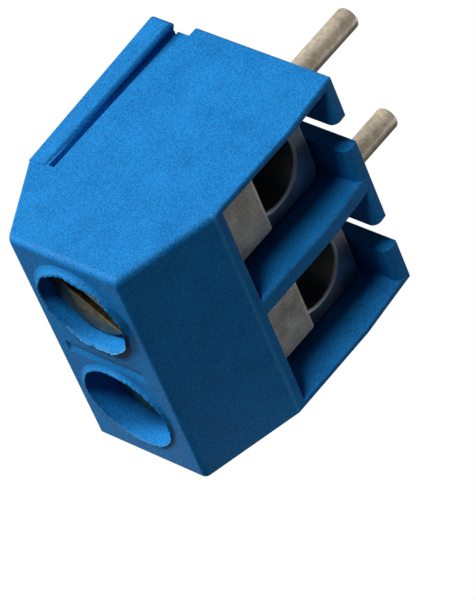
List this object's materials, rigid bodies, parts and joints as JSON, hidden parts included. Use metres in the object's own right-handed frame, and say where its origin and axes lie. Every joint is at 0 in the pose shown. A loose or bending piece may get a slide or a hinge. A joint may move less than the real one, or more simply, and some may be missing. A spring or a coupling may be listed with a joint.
{
  "type": "screw terminal block",
  "caption": "Blue through-hole screw terminal block with side-entry wire bays, top screws, sliding wire guards and a side rail for joining blocks in a row.",
  "frame": {"origin": "midway between the two solder pins, on the circuit board's surface where the housing stands", "axes": "+X along the row towards the end with the side rail, wires enter along +Y from the -Y face, +Z away from the board towards the screws"},
  "size_m": [0.0106, 0.008, 0.0149],
  "materials": {
    "housing_plastic": "fine satin moulding",
    "clamp_metal": "nickel plated, satin",
    "pin_tin": "dull tin plating",
    "guard_steel": "bright rolled strip",
    "screw_brass": "yellow plated, worn"
  },
  "bodies": {
    "block": {"housing": "housing_plastic", "clamp_body_1": "clamp_metal", "clamp_body_2": "clamp_metal", "solder_pin_1": "pin_tin", "solder_pin_2": "pin_tin"},
    "guard_1": {"wire_guard_1": "guard_steel"},
    "guard_2": {"wire_guard_2": "guard_steel"},
    "screw_1": {"clamp_screw_1": "screw_brass"},
    "screw_2": {"clamp_screw_2": "screw_brass"}
  },
  "joints": [
    {"name": "guard_1_slide", "type": "slide", "parent": "block", "child": "guard_1", "axis": [0, 0, -1], "range_m": [0, 0.0015]},
    {"name": "guard_2_slide", "type": "slide", "parent": "block", "child": "guard_2", "axis": [0, 0, -1], "range_m": [-0.0001, 0.0013]},
    {"name": "screw_1_turn", "type": "hinge", "parent": "guard_1", "child": "screw_1", "pos_m": [0.00254, 0.00015, 0.0089], "axis": [0, 0, -1], "range_deg": [0, 1200.1]},
    {"name": "screw_2_turn", "type": "hinge", "parent": "guard_2", "child": "screw_2", "pos_m": [-0.00254, 0.00015, 0.0083], "axis": [0, 0, -1], "range_deg": [-80.1, 1040.1]}
  ],
  "couplings": [
    {"joint": "screw_1_turn", "follows": "guard_1_slide", "rad_per_m": 13963},
    {"joint": "screw_2_turn", "follows": "guard_2_slide", "rad_per_m": 13963}
  ]
}
